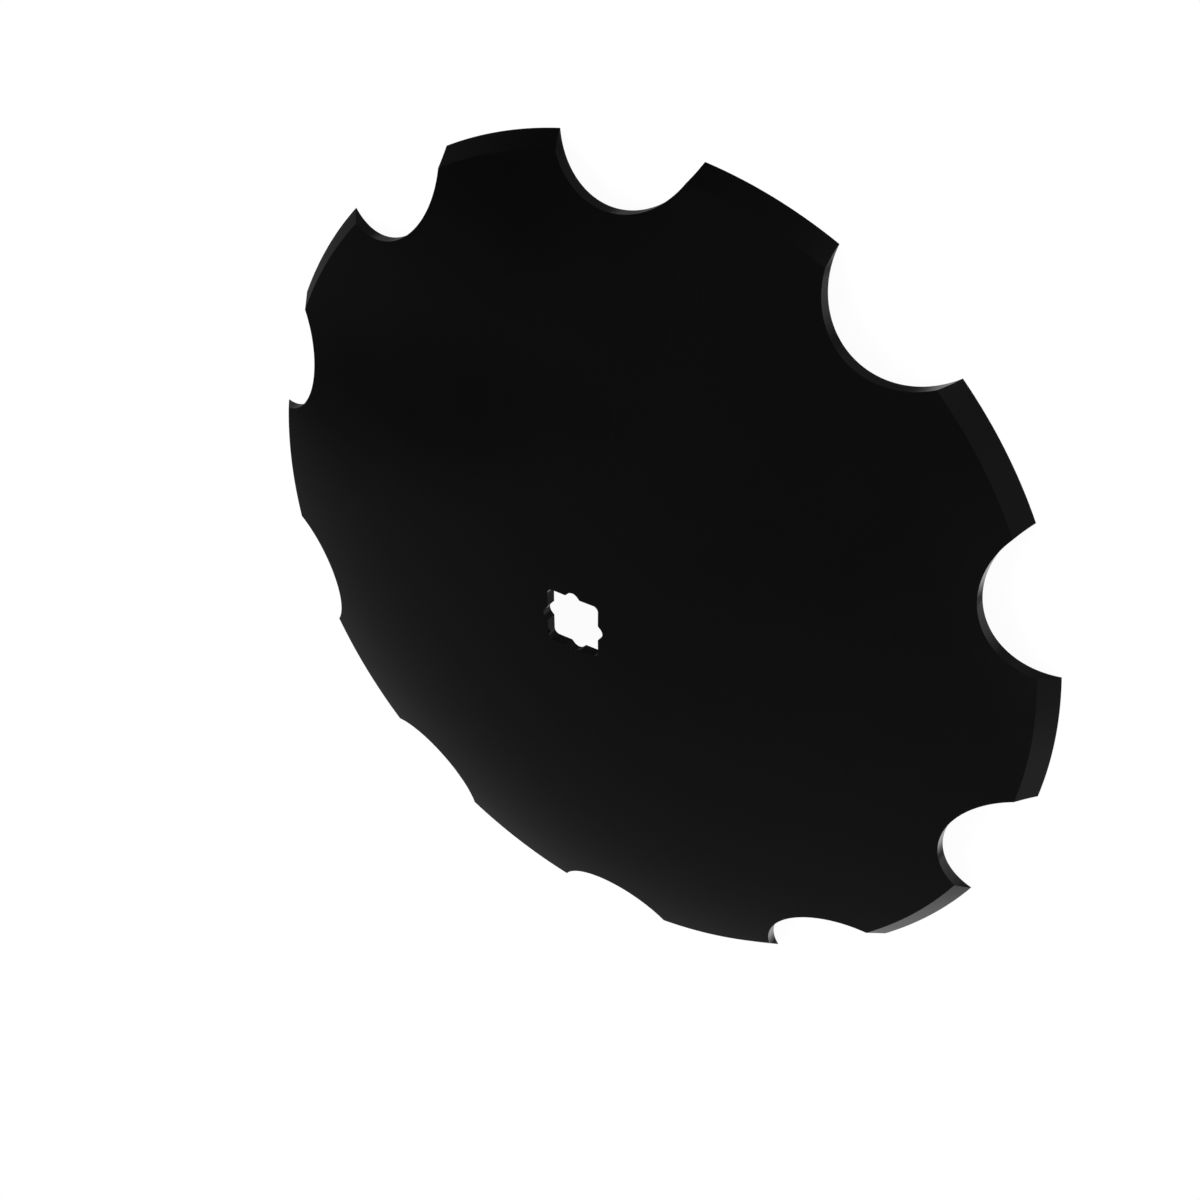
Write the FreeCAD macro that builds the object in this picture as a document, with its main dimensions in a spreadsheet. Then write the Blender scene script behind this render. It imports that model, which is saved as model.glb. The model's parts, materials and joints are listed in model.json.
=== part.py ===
import FreeCAD, Part
import math
import os
import Sketcher

# Harrow disc blade: one dished steel plate with round notches round its rim,
# an outside bevel on every tooth and a square axle hole in the middle.
# Sizes are in millimetres and angles in degrees.
# The origin is the centre of the circle that the teeth's edges lie on. Z is the
# blade's axis, the rounded side is up, and the middle of one notch lies on X.

# Driving dimensions
SIZES = {
    "rim_radius": 254.0,         # a 20 inch blade
    "dish_radius": 711.2,        # ball that the hollow side lies on, 28 inches
    "plate_thickness": 6.35,
    "bevel_width": 8.4,          # across the bevel, measured along the radius
    "edge_land": 0.4,            # blunt edge that grinding leaves on a tooth
    "notch_count": 10,
    "notch_radius": 44.45,
    "notch_centre_out": 12.7,    # how far a notch's centre lies outside the rim
    "large_axle": 31.75,         # square axle with its flats towards X and Y
    "small_axle": 28.575,        # square axle turned by an eighth of a turn
    "axle_clearance": 1.4,       # across the flats, in the hole
    "large_corner": 3.2,         # corner radius of the hole for the large axle
    "small_corner": 4.2,         # corner radius of the hole for the small axle
}

doc = FreeCAD.newDocument("harrow_disc_blade")

# Spreadsheet
sheet = doc.addObject("Spreadsheet::Sheet", "sizes")
for row, (alias, value) in enumerate(SIZES.items(), start=1):
    sheet.set("A%d" % row, alias)
    sheet.set("B%d" % row, str(value))
    sheet.setAlias("B%d" % row, alias)
doc.recompute()


def size(alias):
    return float(sheet.get(alias))


def origin_feature(body, role):
    """The plane or axis of the body's own origin with that role."""
    return next(item for item in body.Origin.OriginFeatures if item.Role == role)


def add_sketch(body, name, role, turn=0.0):
    """An empty sketch on one of the body's origin planes, turned about its normal."""
    sketch = body.newObject("Sketcher::SketchObject", name)
    sketch.AttachmentSupport = (origin_feature(body, role), [""])
    sketch.MapMode = "FlatFace"
    up = FreeCAD.Vector(0, 0, 1)
    sketch.AttachmentOffset = FreeCAD.Placement(FreeCAD.Vector(), FreeCAD.Rotation(up, turn))
    return sketch


def bind(sketch, kind, places, name, value, expression):
    """A named dimension of the sketch, whose size comes from the spreadsheet."""
    index = sketch.addConstraint(Sketcher.Constraint(kind, *places, value))
    sketch.renameConstraint(index, name)
    sketch.setExpression("Constraints." + name, expression)


def join(sketch, *pairs):
    """Makes the end points of each pair one point."""
    for first, first_end, second, second_end in pairs:
        sketch.addConstraint(
            Sketcher.Constraint("Coincident", first, first_end, second, second_end)
        )


# Names for a sketch's fixed lines and for the points of a line or an arc, in the
# sketcher's own numbering: the lines count down from zero and the points count up
Y_AXIS, X_AXIS = range(-2, 0)
START, END, CENTRE = range(1, 4)
ORIGIN_POINT = (X_AXIS, START)
UPWARDS = FreeCAD.Vector(0, 0, 1)


def dish_profile(body):
    """Half of the blade's section, from the axis to the edge.

    The two faces are arcs about one centre, so the plate has the same thickness
    all over. The bevel is ground on the rounded side only.
    """
    rim = size("rim_radius")
    inner = size("dish_radius")
    outer = inner + size("plate_thickness")
    land = size("edge_land")
    bevel_start = rim - size("bevel_width")
    centre_height = -math.sqrt(inner ** 2 - rim ** 2)
    bevel_height = centre_height + math.sqrt(outer ** 2 - bevel_start ** 2)

    def point(x, y):
        return FreeCAD.Vector(x, y, 0)

    centre = point(0, centre_height)
    quarter = math.pi / 2
    inner_circle = Part.Circle(centre, UPWARDS, inner)
    outer_circle = Part.Circle(centre, UPWARDS, outer)
    sketch = add_sketch(body, "section", "XZ_Plane")
    hollow = sketch.addGeometry(
        Part.ArcOfCircle(inner_circle, math.acos(rim / inner), quarter)
    )
    middle = sketch.addGeometry(
        Part.LineSegment(point(0, centre_height + inner), point(0, centre_height + outer))
    )
    rounded = sketch.addGeometry(
        Part.ArcOfCircle(outer_circle, math.acos(bevel_start / outer), quarter)
    )
    bevel = sketch.addGeometry(
        Part.LineSegment(point(bevel_start, bevel_height), point(rim, land))
    )
    edge = sketch.addGeometry(Part.LineSegment(point(rim, land), point(rim, 0)))

    join(
        sketch,
        (hollow, END, middle, START),
        (middle, END, rounded, END),
        (rounded, START, bevel, START),
        (bevel, END, edge, START),
        (edge, END, hollow, START),
        (hollow, CENTRE, rounded, CENTRE),
    )
    for line, end, axis in (
        (hollow, CENTRE, Y_AXIS),
        (hollow, END, Y_AXIS),
        (rounded, END, Y_AXIS),
        (hollow, START, X_AXIS),
    ):
        sketch.addConstraint(Sketcher.Constraint("PointOnObject", line, end, axis))
    sketch.addConstraint(Sketcher.Constraint("Vertical", edge))
    bind(sketch, "Radius", (hollow,), "hollow_face", inner, "sizes.dish_radius")
    bind(
        sketch, "Radius", (rounded,), "rounded_face", outer,
        "sizes.dish_radius + sizes.plate_thickness",
    )
    bind(
        sketch, "DistanceX", (*ORIGIN_POINT, hollow, START), "rim", rim,
        "sizes.rim_radius",
    )
    bind(
        sketch, "DistanceX", (rounded, START, bevel, END), "bevel",
        size("bevel_width"), "sizes.bevel_width",
    )
    bind(sketch, "DistanceY", (edge, END, edge, START), "land", land, "sizes.edge_land")
    return sketch


def notch_circle(body):
    """The circle of the first notch, on the X axis just outside the rim."""
    centre_x = size("rim_radius") + size("notch_centre_out")
    radius = size("notch_radius")
    sketch = add_sketch(body, "notch_circle", "XY_Plane")
    circle = sketch.addGeometry(
        Part.Circle(FreeCAD.Vector(centre_x, 0, 0), UPWARDS, radius)
    )
    sketch.addConstraint(Sketcher.Constraint("PointOnObject", circle, CENTRE, X_AXIS))
    bind(sketch, "Radius", (circle,), "notch", radius, "sizes.notch_radius")
    bind(
        sketch, "DistanceX", (*ORIGIN_POINT, circle, CENTRE), "centre_out", centre_x,
        "sizes.rim_radius + sizes.notch_centre_out",
    )
    return sketch


def axle_square(body, name, turn, axle, corner):
    """A square with rounded corners about the axis, for the axle of that size."""
    across = size(axle) + size("axle_clearance")
    radius = size(corner)
    half = across / 2
    flat = half - radius
    sketch = add_sketch(body, name, "XY_Plane", turn)
    sides, corners = [], []
    for quarter in range(4):
        spin = FreeCAD.Rotation(UPWARDS, 90 * quarter)
        low = spin.multVec(FreeCAD.Vector(half, -flat, 0))
        high = spin.multVec(FreeCAD.Vector(half, flat, 0))
        middle = spin.multVec(FreeCAD.Vector(flat, flat, 0))
        start = math.radians(90 * quarter)
        circle = Part.Circle(middle, UPWARDS, radius)
        sides.append(sketch.addGeometry(Part.LineSegment(low, high)))
        corners.append(
            sketch.addGeometry(Part.ArcOfCircle(circle, start, start + math.pi / 2))
        )
    for quarter in range(4):
        following = sides[(quarter + 1) % 4]
        sketch.addConstraint(
            Sketcher.Constraint("Tangent", sides[quarter], END, corners[quarter], START)
        )
        sketch.addConstraint(
            Sketcher.Constraint("Tangent", corners[quarter], END, following, START)
        )
    for quarter, direction in enumerate(("Vertical", "Horizontal") * 2):
        sketch.addConstraint(Sketcher.Constraint(direction, sides[quarter]))
    for other in corners[1:]:
        sketch.addConstraint(Sketcher.Constraint("Equal", corners[0], other))
    sketch.addConstraint(
        Sketcher.Constraint("Symmetric", sides[0], START, sides[2], START, *ORIGIN_POINT)
    )
    expression = "sizes.%s + sizes.axle_clearance" % axle
    bind(sketch, "Radius", (corners[0],), "corner", radius, "sizes." + corner)
    bind(sketch, "DistanceX", (sides[2], START, sides[0], END), "wide", across, expression)
    bind(sketch, "DistanceY", (sides[3], START, sides[1], END), "deep", across, expression)
    return sketch


def cut_through(body, sketch, name):
    """Cuts the sketch's outline through the plate, which lies above the sketch."""
    pocket = body.newObject("PartDesign::Pocket", name)
    pocket.Profile = sketch
    pocket.Type = "ThroughAll"
    pocket.Reversed = True
    return pocket


def require_cut(before, after, area, name):
    """Stops the script if a cut of that area took less than half its share of the
    plate, as one that points away from the plate does."""
    taken = before.Shape.Volume - after.Shape.Volume
    if taken <= area * size("plate_thickness") / 2:
        raise RuntimeError("%s took only %.1f cubic mm away" % (name, taken))


# The blade
blade = doc.addObject("PartDesign::Body", "disc_blade")
blade.Label = "disc_blade"
blade.Placement = FreeCAD.Placement(FreeCAD.Vector(), FreeCAD.Rotation())

# Pressed plate with its ground edge
plate = blade.newObject("PartDesign::Revolution", "dished_plate")
plate.Profile = dish_profile(blade)
plate.ReferenceAxis = (plate.Profile[0], ["V_Axis"])
plate.Angle = 360.0
doc.recompute()

# Notches, cut parallel to the axis
first_notch = cut_through(blade, notch_circle(blade), "first_notch")
doc.recompute()
notches = blade.newObject("PartDesign::PolarPattern", "notches")
notches.Originals = [first_notch]
notches.Axis = (origin_feature(blade, "Z_Axis"), [""])
notches.Angle = 360.0
notches.setExpression("Occurrences", "sizes.notch_count")
blade.Tip = notches
doc.recompute()

# Axle hole: one square for the large axle, and one for the small axle turned
# by an eighth of a turn, whose corners stand out of the middle of each side
large_square = cut_through(
    blade, axle_square(blade, "large_square", 0, "large_axle", "large_corner"),
    "large_axle_hole",
)
doc.recompute()
small_square = cut_through(
    blade, axle_square(blade, "small_square", 45, "small_axle", "small_corner"),
    "small_axle_hole",
)
blade.Tip = small_square
doc.recompute()

# Each cut did its work. All the notches together take as many times what one
# takes as there are notches. A corner of the small square takes a triangle that
# stands out of the large square, less what its rounding leaves, and takes nothing
# where the large square is big enough to hold it.
one_notch = plate.Shape.Volume - first_notch.Shape.Volume
all_notches = plate.Shape.Volume - notches.Shape.Volume
if one_notch <= 0 or abs(all_notches / one_notch - size("notch_count")) > 0.01:
    raise RuntimeError("the notches took %.1f cubic mm away" % all_notches)
large_side = size("large_axle") + size("axle_clearance")
small_side = size("small_axle") + size("axle_clearance")
large_area = large_side ** 2 - (4 - math.pi) * size("large_corner") ** 2
require_cut(notches, large_square, large_area, "the large axle's hole")
rounding = size("small_corner") * (math.sqrt(2) - 1)
corner_reach = small_side / math.sqrt(2) - rounding - large_side / 2
if corner_reach > 0:
    require_cut(large_square, small_square, 4 * corner_reach ** 2, "the small axle's hole")

# Nothing failed to compute
for item in doc.Objects:
    if "Invalid" in item.State or "Error" in item.State:
        raise RuntimeError("%s did not compute: %s" % (item.Name, item.State))
if blade.Shape.isNull() or not blade.Shape.isValid() or len(blade.Shape.Solids) != 1:
    raise RuntimeError("the blade is not one valid solid")

os.makedirs("parts", exist_ok=True)
blade.Shape.exportStep("parts/%s.step" % blade.Label)
bounds = blade.Shape.BoundBox
print("%s: %.1f x %.1f x %.2f mm" % (blade.Label, bounds.XLength, bounds.YLength, bounds.ZLength))
print("volume %.0f cubic mm, area %.0f square mm" % (blade.Shape.Volume, blade.Shape.Area))
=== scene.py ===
import json
import math

import bmesh
import bpy
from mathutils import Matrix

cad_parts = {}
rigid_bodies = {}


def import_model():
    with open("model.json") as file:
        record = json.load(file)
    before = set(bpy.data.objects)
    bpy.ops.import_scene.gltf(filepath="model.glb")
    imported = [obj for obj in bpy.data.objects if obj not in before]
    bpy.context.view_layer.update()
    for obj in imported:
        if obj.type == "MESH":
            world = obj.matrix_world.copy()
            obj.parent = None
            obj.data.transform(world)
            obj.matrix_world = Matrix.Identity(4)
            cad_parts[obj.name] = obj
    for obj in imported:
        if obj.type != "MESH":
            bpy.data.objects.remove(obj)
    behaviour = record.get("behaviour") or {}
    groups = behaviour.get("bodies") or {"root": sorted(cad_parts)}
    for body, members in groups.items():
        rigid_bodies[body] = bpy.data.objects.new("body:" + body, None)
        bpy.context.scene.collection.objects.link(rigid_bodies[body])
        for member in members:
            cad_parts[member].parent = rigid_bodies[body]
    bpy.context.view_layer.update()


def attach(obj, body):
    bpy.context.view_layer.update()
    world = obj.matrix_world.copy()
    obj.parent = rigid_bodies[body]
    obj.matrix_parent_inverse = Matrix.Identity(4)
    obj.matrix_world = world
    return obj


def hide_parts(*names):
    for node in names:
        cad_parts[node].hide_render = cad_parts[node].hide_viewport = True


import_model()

# Harrow disc blade, in metres. The rounded side is up, the teeth's edges lie on the
# floor in a circle about the origin, and the middle of one notch lies on X.

# The plate
DISH_RADIUS = 0.7112
PLATE_THICKNESS = 0.00635
RIM_RADIUS = 0.254
BEVEL_WIDTH = 0.0084
EDGE_LAND = 0.0004
DISH_CENTRE = -math.sqrt(DISH_RADIUS ** 2 - RIM_RADIUS ** 2)
BEVEL_START = RIM_RADIUS - BEVEL_WIDTH

# The notches
NOTCH_COUNT = 10
NOTCH_RADIUS = 0.04445
NOTCH_CENTRE = RIM_RADIUS + 0.0127

# The axle hole: side and corner radius of the square for each axle
LARGE_SQUARE = (0.03315, 0.0032)
SMALL_SQUARE = (0.029975, 0.0042)

# The pilot hole that the plate is spun round, which the axle hole takes away
PILOT_RADIUS = 0.010

# How finely the blade is drawn. The section starts from a speck of a plane, which is
# merged to one point, and points no further apart than SAME_POINT are one.
RING_STEPS = 60
TURN_STEPS = 360
NOTCH_STEPS = 160
CORNER_STEPS = 12
SPECK_SIDE = 0.001
SAME_POINT = 0.000001

# The punches: how long they are, the height of their middle, and the profile of their
# corners, which is a true arc
PUNCH_LENGTH = 0.09
PUNCH_MIDDLE = 0.03
ROUND_PROFILE = 0.5

# How the edges are eased over. Points within the merge gap become one. Points on a side
# shorter than CLEAR_BESIDE go, but for those on a sharp edge, so that no eased strips
# overlap.
SHARP_ABOVE = math.radians(20)
MERGE_GAP = 0.00005
CLEAR_BESIDE = 0.0003
EASE_WIDTH = 0.0001
EASE_STEPS = 2

# Satin black paint. Reliefs are heights in metres, grains are lumps per metre, and each
# gloss has the least and the most roughness.
PAINT_LIGHT = (0.0024, 0.0024, 0.0025, 1.0)
PAINT_DARK = (0.0016, 0.0016, 0.0016, 1.0)
PAINT_IOR = 1.5
PLATE_GLOSS = (0.21, 0.27)
GROUND_GLOSS = (0.21, 0.28)
CUT_GLOSS = (0.12, 0.19)
CLOUD_GRAIN = 22.0
CLOUD_DETAIL = 4.0
CLOUD_RANGE = (0.3, 0.7)
PEEL_GRAIN = 650.0
PEEL_DETAIL = 2.0
PEEL_RELIEF = 0.000010
# Grinding marks have their grain along X, along Y and out from the axis, and shearing
# marks along X, Y and Z
ACROSS_AXIS = (1.0, 1.0, 0.0)
GRINDING_GRAIN = (60.0, 60.0, 2200.0)
GRINDING_DETAIL = 2.0
GRINDING_RELIEF = 0.000016
SHEARING_GRAIN = (900.0, 900.0, 70.0)
SHEARING_DETAIL = 3.0
SHEARING_RELIEF = 0.000045

# The blade's material slots. A face is a cut wall where its normal rises or falls by
# less than WALL_SLOPE.
PLATE, GROUND, CUT = range(3)
WALL_SLOPE = 0.2

# The camera stands where the photograph's did, turned on its side as the photograph is
CAMERA_PLACE = (0.528137, -0.423907, 0.649968)
CAMERA_TURN = (0.707050, -0.004970, 0.401640, -0.582010)
CAMERA_LENS = 49.871
CAMERA_SENSOR = 36.0

# The room. To the camera the floor glows, with just enough shade to hold the blade's
# shadow. To the light in the room it is plain and pale, and the paint doesn't mirror it.
WHITE = (1.0, 1.0, 1.0, 1.0)
FLOOR_SIDE = 12.0
FLOOR_GLOW = 0.96
FLOOR_SHADE = (0.06, 0.06, 0.06, 1.0)
FLOOR_COLOUR = (0.8, 0.8, 0.8, 1.0)
BACKDROP_LIGHT = 1.0
ROOM_LIGHT = 0.5
KEY_LAMP_PLACE = (0.2, 1.2, 1.9)
KEY_LAMP_SIDE = 1.6
KEY_LAMP_POWER = 30.0
# What the paint mirrors: two rings of screens round the blade, one below it and one
# above. Each screen has its way in degrees round Z from X, and how bright it is. The
# light fades from each to the next.
LOW_SCREENS = (
    (-180, 0.76), (-171, 1.0), (-164, 1.0), (-149, 0.45), (-142, 0.07), (-138, 0.07),
    (-132, 0.36), (-92, 0.38), (-61, 0.09), (-40, 0.14), (0, 0.11), (38, 0.06),
    (50, 0.06), (64, 0.21), (80, 0.13), (105, 0.13), (155, 0.36), (170, 0.68),
    (180, 0.76),
)
HIGH_SCREENS = (
    (-180, 0.09), (-148, 0.08), (-136, 0.30), (-120, 0.14), (-75, 0.18), (-50, 0.11),
    (-39, 0.45), (-28, 0.45), (-20, 0.08), (20, 0.03), (78, 0.01), (101, 0.06),
    (112, 0.01), (122, 0.07), (152, 0.07), (180, 0.09),
)
UNDER_BLADE = 0.30
OVER_BLADE = 0.06
# Heights, as sines, between which each of these gives way to the one above it
UNDER_TO_LOW = (-0.97, -0.85)
LOW_TO_HIGH = (-0.80, 0.30)
HIGH_TO_OVER = (0.70, 1.0)
# A small white screen under the blade's far side: its way, how bright it is, and the
# cosines of the angles from its middle at which it starts and is full
FAR_SCREEN_WAY = (0.038, 0.437, -0.899)
FAR_SCREEN = 1.0
FAR_SCREEN_EDGE = (0.978, 0.989)


def deselect_all():
    for thing in bpy.context.scene.objects:
        thing.select_set(False)


def only(piece):
    """Selects one piece and makes it the active one."""
    deselect_all()
    piece.select_set(True)
    bpy.context.view_layer.objects.active = piece


def arc_points(first, last, ball):
    """Points along one face, evenly turned, from one radius to the other."""
    start = math.asin(first / ball)
    end = math.asin(last / ball)
    points = []
    for step in range(RING_STEPS + 1):
        turn = start + (end - start) * step / RING_STEPS
        points.append((ball * math.sin(turn), DISH_CENTRE + ball * math.cos(turn)))
    return points


def section_points():
    """Radius and height round the blade's section, from the foot of the edge."""
    outer = DISH_RADIUS + PLATE_THICKNESS
    rounded = arc_points(BEVEL_START, PILOT_RADIUS, outer)
    hollow = arc_points(PILOT_RADIUS, RIM_RADIUS, DISH_RADIUS)
    return [(RIM_RADIUS, 0.0), (RIM_RADIUS, EDGE_LAND)] + rounded + hollow


def draw_section(points):
    """Draws the section with one vertex that is extruded from point to point."""
    radius, height = points[0]
    bpy.ops.mesh.primitive_plane_add(size=SPECK_SIDE, location=(radius, 0, height))
    piece = bpy.context.object
    bpy.ops.object.transform_apply(location=True, rotation=True, scale=True)
    bpy.ops.object.mode_set(mode="EDIT")
    bpy.ops.mesh.select_mode(type="VERT")
    bpy.ops.mesh.select_all(action="SELECT")
    bpy.ops.mesh.merge(type="CENTER")
    for new_radius, new_height in points[1:]:
        step = (new_radius - radius, 0, new_height - height)
        bpy.ops.mesh.extrude_region_move(TRANSFORM_OT_translate={"value": step})
        radius, height = new_radius, new_height
    bpy.ops.mesh.select_all(action="SELECT")
    bpy.ops.mesh.remove_doubles(threshold=SAME_POINT)
    return piece


def press_plate():
    """The dished plate with its bevel, spun round the axis from the section."""
    deselect_all()
    plate = draw_section(section_points())
    plate.name = "blade"
    bpy.ops.mesh.select_all(action="SELECT")
    bpy.ops.mesh.spin(
        steps=TURN_STEPS, angle=2 * math.pi, center=(0, 0, 0), axis=(0, 0, 1)
    )
    bpy.ops.mesh.select_all(action="SELECT")
    bpy.ops.mesh.remove_doubles(threshold=SAME_POINT)
    bpy.ops.mesh.normals_make_consistent(inside=False)
    bpy.ops.object.mode_set(mode="OBJECT")
    return plate


def notch_punches():
    """Ten round punches, one drawn and nine spun off it about the axis."""
    deselect_all()
    bpy.ops.mesh.primitive_cylinder_add(
        vertices=NOTCH_STEPS, radius=NOTCH_RADIUS, depth=PUNCH_LENGTH,
        location=(NOTCH_CENTRE, 0, PUNCH_MIDDLE),
    )
    punches = bpy.context.object
    bpy.ops.object.transform_apply(location=True, rotation=True, scale=True)
    bpy.ops.object.mode_set(mode="EDIT")
    bpy.ops.mesh.select_all(action="SELECT")
    copies = NOTCH_COUNT - 1
    bpy.ops.mesh.spin(
        steps=copies, dupli=True, angle=2 * math.pi * copies / NOTCH_COUNT,
        center=(0, 0, 0), axis=(0, 0, 1),
    )
    bpy.ops.mesh.select_all(action="SELECT")
    bpy.ops.mesh.normals_make_consistent(inside=False)
    bpy.ops.object.mode_set(mode="OBJECT")
    return punches


def square_punch(square, turn):
    """A square punch with rounded corners, turned about the axis."""
    side, corner = square
    deselect_all()
    bpy.ops.mesh.primitive_cube_add(size=1, location=(0, 0, PUNCH_MIDDLE))
    punch = bpy.context.object
    punch.scale = (side, side, PUNCH_LENGTH)
    punch.rotation_euler = (0, 0, turn)
    bpy.ops.object.transform_apply(location=True, rotation=True, scale=True)
    bpy.ops.object.mode_set(mode="EDIT")
    bpy.ops.mesh.select_mode(type="EDGE")
    bpy.ops.mesh.select_all(action="DESELECT")
    bpy.ops.object.mode_set(mode="OBJECT")
    points = punch.data.vertices
    for edge in punch.data.edges:
        low, high = (points[index].co for index in edge.vertices)
        edge.select = abs(low.z - high.z) > PUNCH_LENGTH / 2
    bpy.ops.object.mode_set(mode="EDIT")
    bpy.ops.mesh.bevel(
        offset=corner, offset_type="OFFSET", segments=CORNER_STEPS, profile=ROUND_PROFILE
    )
    bpy.ops.object.mode_set(mode="OBJECT")
    return punch


def punch_out(piece, punch):
    """Takes the punch's shape out of the piece and throws the punch away."""
    only(piece)
    cut = piece.modifiers.new("cut", "BOOLEAN")
    cut.operation = "DIFFERENCE"
    cut.solver = "EXACT"
    cut.object = punch
    bpy.ops.object.modifier_apply(modifier=cut.name)
    bpy.data.objects.remove(punch, do_unlink=True)


def clear_beside_edges(piece):
    """Merges points that the punches left too close, and takes out those beside an edge."""
    only(piece)
    bpy.ops.object.mode_set(mode="EDIT")
    bpy.ops.mesh.select_mode(type="VERT")
    bpy.ops.mesh.select_all(action="SELECT")
    bpy.ops.mesh.remove_doubles(threshold=MERGE_GAP)
    bpy.ops.mesh.select_all(action="DESELECT")
    mesh = bmesh.from_edit_mesh(piece.data)
    sharp = set()
    for edge in mesh.edges:
        if edge.calc_face_angle() > SHARP_ABOVE:
            sharp.update(edge.verts)
    for edge in mesh.edges:
        if edge.calc_length() < CLEAR_BESIDE:
            for point in edge.verts:
                point.select = point not in sharp
    bmesh.update_edit_mesh(piece.data)
    bpy.ops.mesh.dissolve_verts()
    bpy.ops.object.mode_set(mode="OBJECT")


def ease_edges(piece):
    """Rounds every edge over by a hair, and leaves the faces beside it shaded true."""
    only(piece)
    bpy.ops.object.shade_smooth()
    ease = piece.modifiers.new("ease", "BEVEL")
    ease.width = EASE_WIDTH
    ease.segments = EASE_STEPS
    ease.limit_method = "ANGLE"
    ease.angle_limit = SHARP_ABOVE
    ease.use_clamp_overlap = False
    ease.loop_slide = False
    ease.harden_normals = True
    bpy.ops.object.modifier_apply(modifier=ease.name)


def make_blade():
    blade = press_plate()
    punch_out(blade, notch_punches())
    punch_out(blade, square_punch(LARGE_SQUARE, 0))
    punch_out(blade, square_punch(SMALL_SQUARE, math.pi / 4))
    clear_beside_edges(blade)
    ease_edges(blade)
    return blade


def add_node(owner, kind, **settings):
    """A new node, with the sockets that settings name set to their values."""
    node = owner.node_tree.nodes.new(kind)
    for socket, value in settings.items():
        node.inputs[socket.replace("_", " ")].default_value = value
    return node


def start_paint(name, gloss):
    """The paint that is the same on every face: colour and gloss in soft clouds."""
    material = bpy.data.materials.new(name)
    material.use_nodes = True
    link = material.node_tree.links.new
    paint = material.node_tree.nodes["Principled BSDF"]
    paint.inputs["IOR"].default_value = PAINT_IOR
    place = add_node(material, "ShaderNodeTexCoord")
    clouds = add_node(
        material, "ShaderNodeTexNoise", Scale=CLOUD_GRAIN, Detail=CLOUD_DETAIL
    )
    link(place.outputs["Object"], clouds.inputs["Vector"])
    colour = add_node(material, "ShaderNodeMix")
    colour.data_type = "RGBA"
    colour.inputs["A"].default_value = PAINT_DARK
    colour.inputs["B"].default_value = PAINT_LIGHT
    link(clouds.outputs["Fac"], colour.inputs["Factor"])
    link(colour.outputs["Result"], paint.inputs["Base Color"])
    shine = add_node(
        material, "ShaderNodeMapRange", From_Min=CLOUD_RANGE[0], From_Max=CLOUD_RANGE[1],
        To_Min=gloss[0], To_Max=gloss[1],
    )
    link(clouds.outputs["Fac"], shine.inputs["Value"])
    link(shine.outputs["Result"], paint.inputs["Roughness"])
    return material, paint, place


def add_relief(material, pattern, relief, under=None):
    """A bump of that height from a pattern, over another bump if there is one."""
    link = material.node_tree.links.new
    bump = add_node(material, "ShaderNodeBump", Distance=relief)
    link(pattern.outputs["Fac"], bump.inputs["Height"])
    if under:
        link(under.outputs["Normal"], bump.inputs["Normal"])
    return bump


def add_peel(material, place, under=None):
    """The slight orange peel that sprayed paint dries with."""
    peel = add_node(material, "ShaderNodeTexNoise", Scale=PEEL_GRAIN, Detail=PEEL_DETAIL)
    material.node_tree.links.new(place.outputs["Object"], peel.inputs["Vector"])
    return add_relief(material, peel, PEEL_RELIEF, under)


def plate_paint():
    """Paint over the smooth pressed plate."""
    material, paint, place = start_paint("satin_black_paint", PLATE_GLOSS)
    peel = add_peel(material, place)
    material.node_tree.links.new(peel.outputs["Normal"], paint.inputs["Normal"])
    return material


def ground_paint():
    """Paint over the bevel, with the rings that the grinding wheel left round it."""
    material, paint, place = start_paint("satin_black_on_ground_bevel", GROUND_GLOSS)
    link = material.node_tree.links.new
    flat = add_node(material, "ShaderNodeVectorMath")
    flat.operation = "MULTIPLY"
    flat.inputs[1].default_value = ACROSS_AXIS
    link(place.outputs["Object"], flat.inputs[0])
    radius = add_node(material, "ShaderNodeVectorMath")
    radius.operation = "LENGTH"
    link(flat.outputs["Vector"], radius.inputs[0])
    parts = add_node(material, "ShaderNodeSeparateXYZ")
    link(place.outputs["Object"], parts.inputs["Vector"])
    rings = add_node(material, "ShaderNodeCombineXYZ")
    link(parts.outputs["X"], rings.inputs["X"])
    link(parts.outputs["Y"], rings.inputs["Y"])
    link(radius.outputs["Value"], rings.inputs["Z"])
    drawn = add_node(material, "ShaderNodeMapping", Scale=GRINDING_GRAIN)
    link(rings.outputs["Vector"], drawn.inputs["Vector"])
    marks = add_node(material, "ShaderNodeTexNoise", Scale=1.0, Detail=GRINDING_DETAIL)
    link(drawn.outputs["Vector"], marks.inputs["Vector"])
    relief = add_peel(material, place, add_relief(material, marks, GRINDING_RELIEF))
    link(relief.outputs["Normal"], paint.inputs["Normal"])
    return material


def cut_paint():
    """Paint over the walls that the punch sheared, with its marks down them."""
    material, paint, place = start_paint("satin_black_on_cut_wall", CUT_GLOSS)
    link = material.node_tree.links.new
    drawn = add_node(material, "ShaderNodeMapping", Scale=SHEARING_GRAIN)
    link(place.outputs["Object"], drawn.inputs["Vector"])
    marks = add_node(material, "ShaderNodeTexNoise", Scale=1.0, Detail=SHEARING_DETAIL)
    link(drawn.outputs["Vector"], marks.inputs["Vector"])
    relief = add_peel(material, place, add_relief(material, marks, SHEARING_RELIEF))
    link(relief.outputs["Normal"], paint.inputs["Normal"])
    return material


def paint_blade(blade):
    """Gives each face the paint of what lies under it."""
    materials = blade.data.materials
    materials.clear()
    for material in (plate_paint(), ground_paint(), cut_paint()):
        materials.append(material)
    for face in blade.data.polygons:
        if abs(face.normal.z) < WALL_SLOPE:
            face.material_index = CUT
        elif face.normal.z > 0 and face.center.xy.length > BEVEL_START:
            face.material_index = GROUND
        else:
            face.material_index = PLATE


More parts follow.
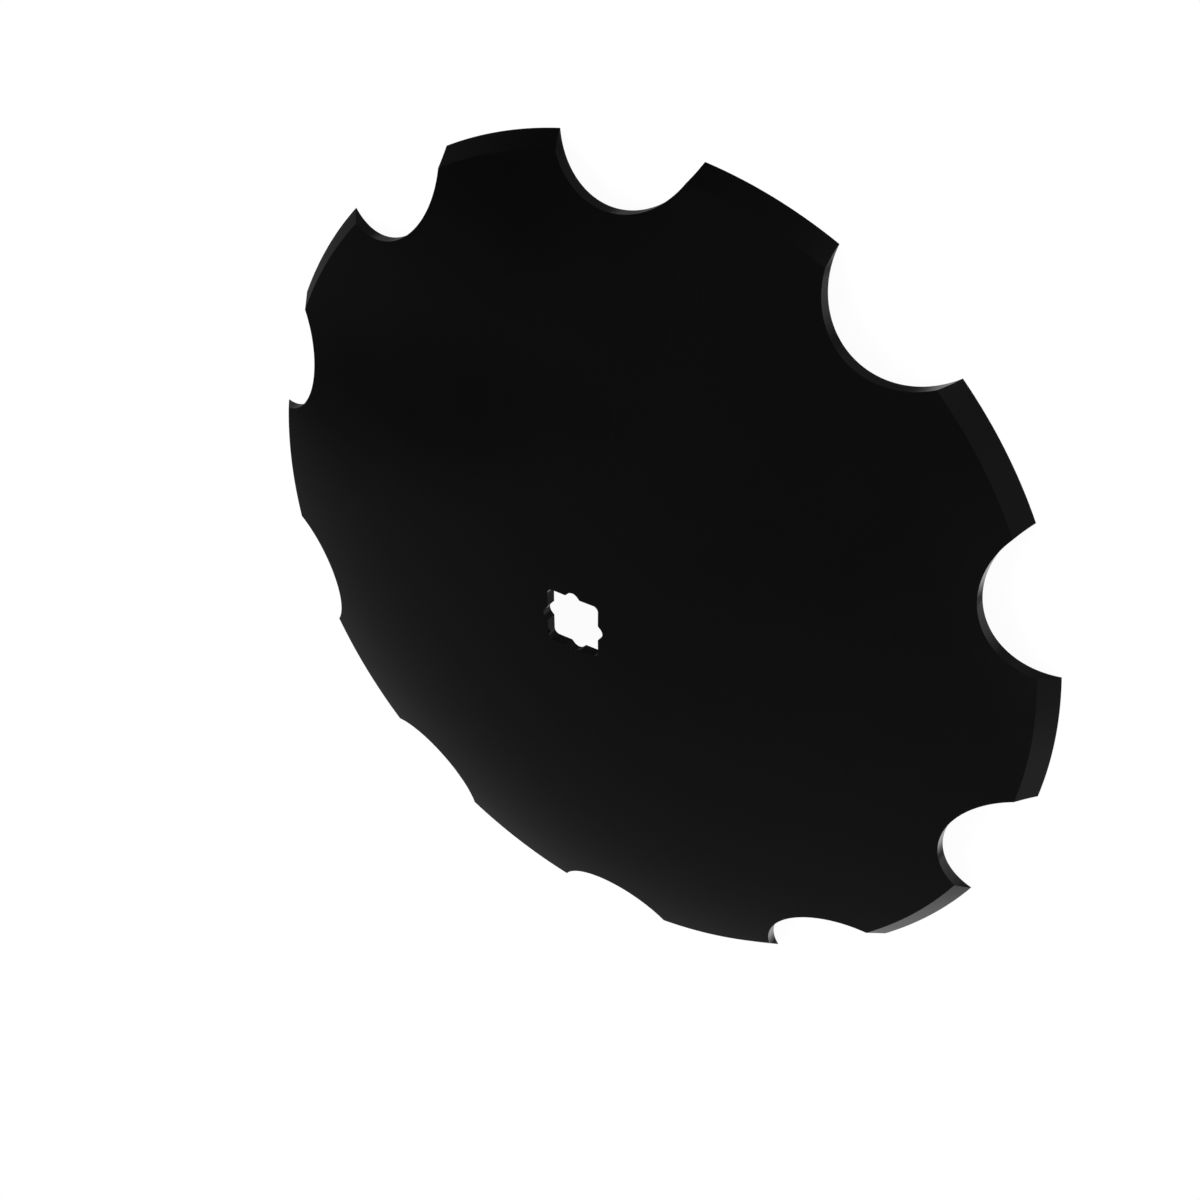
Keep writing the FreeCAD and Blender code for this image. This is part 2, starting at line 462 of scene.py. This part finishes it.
def add_camera():
    bpy.ops.object.camera_add(location=CAMERA_PLACE)
    camera = bpy.context.object
    camera.name = "camera"
    camera.rotation_mode = "QUATERNION"
    camera.rotation_quaternion = CAMERA_TURN
    camera.data.lens = CAMERA_LENS
    camera.data.sensor_width = CAMERA_SENSOR
    bpy.context.scene.camera = camera


def floor_paint():
    """White to the camera, with a little of the blade's shadow. Clear from below."""
    material = bpy.data.materials.new("pale_floor")
    material.use_nodes = True
    material.cycles.emission_sampling = "NONE"
    material.node_tree.nodes.clear()
    link = material.node_tree.links.new
    path = add_node(material, "ShaderNodeLightPath")
    side = add_node(material, "ShaderNodeNewGeometry")
    glow = add_node(material, "ShaderNodeEmission", Color=WHITE, Strength=FLOOR_GLOW)
    shade = add_node(material, "ShaderNodeBsdfDiffuse", Color=FLOOR_SHADE)
    seen = add_node(material, "ShaderNodeAddShader")
    link(glow.outputs["Emission"], seen.inputs[0])
    link(shade.outputs["BSDF"], seen.inputs[1])
    pale = add_node(material, "ShaderNodeBsdfDiffuse", Color=FLOOR_COLOUR)
    above = add_node(material, "ShaderNodeMixShader")
    link(path.outputs["Is Camera Ray"], above.inputs["Fac"])
    link(pale.outputs["BSDF"], above.inputs[1])
    link(seen.outputs["Shader"], above.inputs[2])
    clear = add_node(material, "ShaderNodeBsdfTransparent")
    both = add_node(material, "ShaderNodeMixShader")
    link(side.outputs["Backfacing"], both.inputs["Fac"])
    link(above.outputs["Shader"], both.inputs[1])
    link(clear.outputs["BSDF"], both.inputs[2])
    output = add_node(material, "ShaderNodeOutputMaterial")
    link(both.outputs["Shader"], output.inputs["Surface"])
    return material


def add_floor():
    deselect_all()
    bpy.ops.mesh.primitive_plane_add(size=FLOOR_SIDE, location=(0, 0, 0))
    floor = bpy.context.object
    floor.name = "floor"
    floor.data.materials.append(floor_paint())
    floor.visible_glossy = False


def way_round(world, parts):
    """How far round Z from X a way points: 0 at -180 degrees, and 1 at 180."""
    link = world.node_tree.links.new
    turn = add_node(world, "ShaderNodeMath")
    turn.operation = "ARCTAN2"
    link(parts.outputs["Y"], turn.inputs[0])
    link(parts.outputs["X"], turn.inputs[1])
    share = add_node(world, "ShaderNodeMapRange", From_Min=-math.pi, From_Max=math.pi)
    link(turn.outputs["Value"], share.inputs["Value"])
    return share.outputs["Result"]


def screen_ring(world, way, screens):
    """A ramp that is as bright as each screen on its way."""
    ring = add_node(world, "ShaderNodeValToRGB")
    world.node_tree.links.new(way, ring.inputs["Fac"])
    ramp = ring.color_ramp
    ramp.elements.remove(ramp.elements[1])
    for number, (degrees, level) in enumerate(screens):
        position = (degrees + 180) / 360
        stop = ramp.elements.new(position) if number else ramp.elements[0]
        stop.position = position
        stop.color = (level, level, level, 1.0)
    return ring.outputs["Color"]


def gives_way(world, value, first, second, change):
    """The first light where a value is below that change, and the second one above."""
    link = world.node_tree.links.new
    share = add_node(world, "ShaderNodeMapRange", From_Min=change[0], From_Max=change[1])
    share.interpolation_type = "SMOOTHSTEP"
    link(value, share.inputs["Value"])
    both = add_node(world, "ShaderNodeMix")
    link(share.outputs["Result"], both.inputs["Factor"])
    for socket, light in (("A", first), ("B", second)):
        if isinstance(light, float):
            both.inputs[socket].default_value = light
        else:
            link(light, both.inputs[socket])
    return both.outputs["Result"]


def mirrored_room(world):
    """How bright the room is that the paint mirrors."""
    link = world.node_tree.links.new
    place = add_node(world, "ShaderNodeTexCoord")
    parts = add_node(world, "ShaderNodeSeparateXYZ")
    link(place.outputs["Generated"], parts.inputs["Vector"])
    height = parts.outputs["Z"]
    way = way_round(world, parts)
    high = screen_ring(world, way, HIGH_SCREENS)
    high = gives_way(world, height, high, OVER_BLADE, HIGH_TO_OVER)
    low = screen_ring(world, way, LOW_SCREENS)
    low = gives_way(world, height, UNDER_BLADE, low, UNDER_TO_LOW)
    near = add_node(world, "ShaderNodeVectorMath")
    near.operation = "DOT_PRODUCT"
    near.inputs[1].default_value = FAR_SCREEN_WAY
    link(place.outputs["Generated"], near.inputs[0])
    both = gives_way(world, height, low, high, LOW_TO_HIGH)
    return gives_way(world, near.outputs["Value"], both, FAR_SCREEN, FAR_SCREEN_EDGE)


def light_room():
    """A white room to the camera. The paint mirrors screens that are dimmer."""
    world = bpy.data.worlds.new("room")
    bpy.context.scene.world = world
    world.use_nodes = True
    world.cycles.sampling_method = "NONE"
    world.node_tree.nodes.clear()
    link = world.node_tree.links.new
    path = add_node(world, "ShaderNodeLightPath")
    other = add_node(world, "ShaderNodeMix", A=ROOM_LIGHT)
    link(path.outputs["Is Glossy Ray"], other.inputs["Factor"])
    link(mirrored_room(world), other.inputs["B"])
    strength = add_node(world, "ShaderNodeMix", B=BACKDROP_LIGHT)
    link(path.outputs["Is Camera Ray"], strength.inputs["Factor"])
    link(other.outputs["Result"], strength.inputs["A"])
    background = add_node(world, "ShaderNodeBackground", Color=WHITE)
    link(strength.outputs["Result"], background.inputs["Strength"])
    output = add_node(world, "ShaderNodeOutputWorld")
    link(background.outputs["Background"], output.inputs["Surface"])


def add_key_lamp():
    """A soft square lamp that faces the blade. It does not show in the paint."""
    bpy.ops.object.light_add(type="AREA", location=KEY_LAMP_PLACE)
    lamp = bpy.context.object
    lamp.name = "key_lamp"
    lamp.data.size = KEY_LAMP_SIDE
    lamp.data.energy = KEY_LAMP_POWER
    lamp.rotation_mode = "QUATERNION"
    lamp.rotation_quaternion = (-lamp.location).to_track_quat("-Z", "Y")
    lamp.visible_glossy = False


blade = make_blade()
paint_blade(blade)
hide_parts("disc_blade")
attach(blade, "root")

add_camera()
add_floor()
light_room()
add_key_lamp()
bpy.context.scene.view_settings.view_transform = "Standard"
